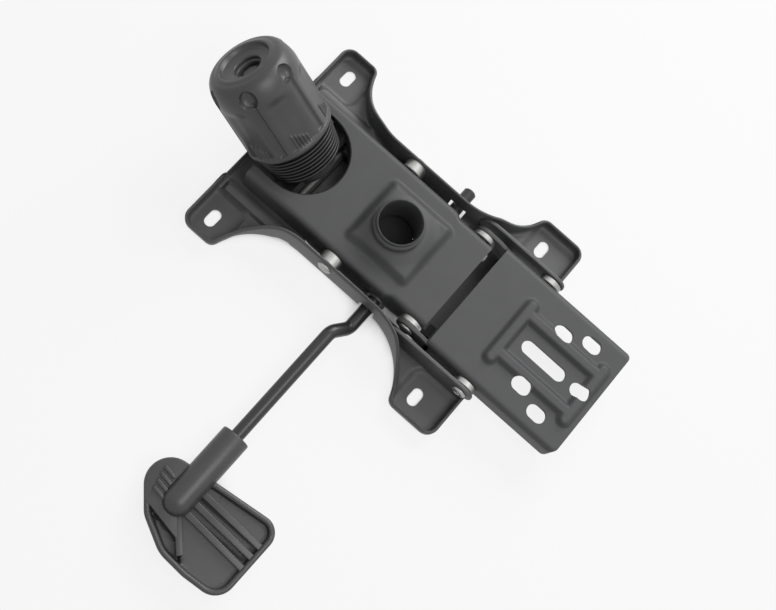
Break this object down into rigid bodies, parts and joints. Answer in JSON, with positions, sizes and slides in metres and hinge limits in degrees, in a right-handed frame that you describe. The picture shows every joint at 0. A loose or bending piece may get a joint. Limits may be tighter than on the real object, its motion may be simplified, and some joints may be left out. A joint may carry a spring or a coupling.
{
  "type": "office chair tilt mechanism",
  "caption": "Synchronised tilt mechanism for an office chair: housing with gas lift socket, hinged seat plate and back bracket, sprung tension knob and cranked lever",
  "frame": {"origin": "centre of the gas lift socket's mouth", "axes": "stored underside up, as pictured: +X to the lever side, +Y to the back rest, +Z out of the gas lift socket, which is down in use; turn half round about Y for use"},
  "size_m": [0.3275, 0.3152, 0.0933],
  "materials": {
    "coated_steel": "satin charcoal powder coat",
    "black_plastic": "fine-grained black moulding",
    "black_rod": "satin black coating",
    "zinc_steel": "zinc-plated",
    "boot_rubber": "matt black ribbed boot"
  },
  "bodies": {
    "housing": {"housing": "coated_steel", "socket_sleeve": "coated_steel", "spring_seat": "coated_steel", "spring_boot": "boot_rubber", "tension_spring": "zinc_steel", "rod_bushes": "black_plastic"},
    "seat": {"seat_plate": "coated_steel", "bolt_saddle": "coated_steel", "lock_catch": "coated_steel", "pivot_a_rivets": "zinc_steel", "pivot_a_spacers": "zinc_steel"},
    "back": {"back_bracket": "coated_steel", "pivot_b_rivets": "zinc_steel", "pivot_b_washers": "zinc_steel", "pivot_c_rivets": "zinc_steel", "pivot_c_washers": "zinc_steel"},
    "bolt": {"tension_bolt": "zinc_steel"},
    "washer": {"thrust_washer": "zinc_steel"},
    "knob": {"tension_knob": "black_plastic", "tension_nut": "zinc_steel"},
    "lock": {"lock_slider": "zinc_steel"},
    "lever": {"lever_rod": "black_rod", "lever_paddle": "black_plastic", "release_finger": "coated_steel", "rod_clip": "zinc_steel"}
  },
  "joints": [
    {"name": "back_tilt", "type": "hinge", "parent": "housing", "child": "back", "pos_m": [0, 0.046, -0.026], "axis": [1, 0, 0], "range_deg": [0, 18], "stiffness_Nm_per_rad": 40, "springref_deg": -11.46},
    {"name": "seat_tilt", "type": "hinge", "parent": "housing", "child": "seat", "pos_m": [0, -0.018, -0.026], "axis": [1, 0, 0], "range_deg": [0, 8.1]},
    {"name": "bolt_slide", "type": "slide", "parent": "housing", "child": "bolt", "axis": [0, -0.7071, 0.7071], "range_m": [-0.006, 0], "deforming": ["tension_spring", "spring_boot"]},
    {"name": "knob_travel", "type": "slide", "parent": "bolt", "child": "washer", "axis": [0, -0.7071, 0.7071], "range_m": [-0.0041, 0.0021], "deforming": ["tension_spring", "spring_boot"]},
    {"name": "knob_turn", "type": "hinge", "parent": "washer", "child": "knob", "pos_m": [0, -0.0813, -0.0206], "axis": [0, -0.7071, 0.7071], "range_deg": [-720, 360]},
    {"name": "lock_slide", "type": "slide", "parent": "housing", "child": "lock", "axis": [1, 0, 0], "range_m": [0, 0.006]},
    {"name": "lever_lift", "type": "hinge", "parent": "lock", "child": "lever", "pos_m": [0, 0.019, -0.037], "axis": [-1, 0, 0], "range_deg": [0, 10], "stiffness_Nm_per_rad": 0.6, "springref_deg": -8.59}
  ],
  "couplings": [
    {"joint": "seat_tilt", "follows": "back_tilt", "ratio": 0.446},
    {"joint": "bolt_slide", "follows": "back_tilt", "m_per_rad": -0.01858},
    {"joint": "knob_travel", "follows": "knob_turn", "m_per_rad": 0.0003183}
  ]
}
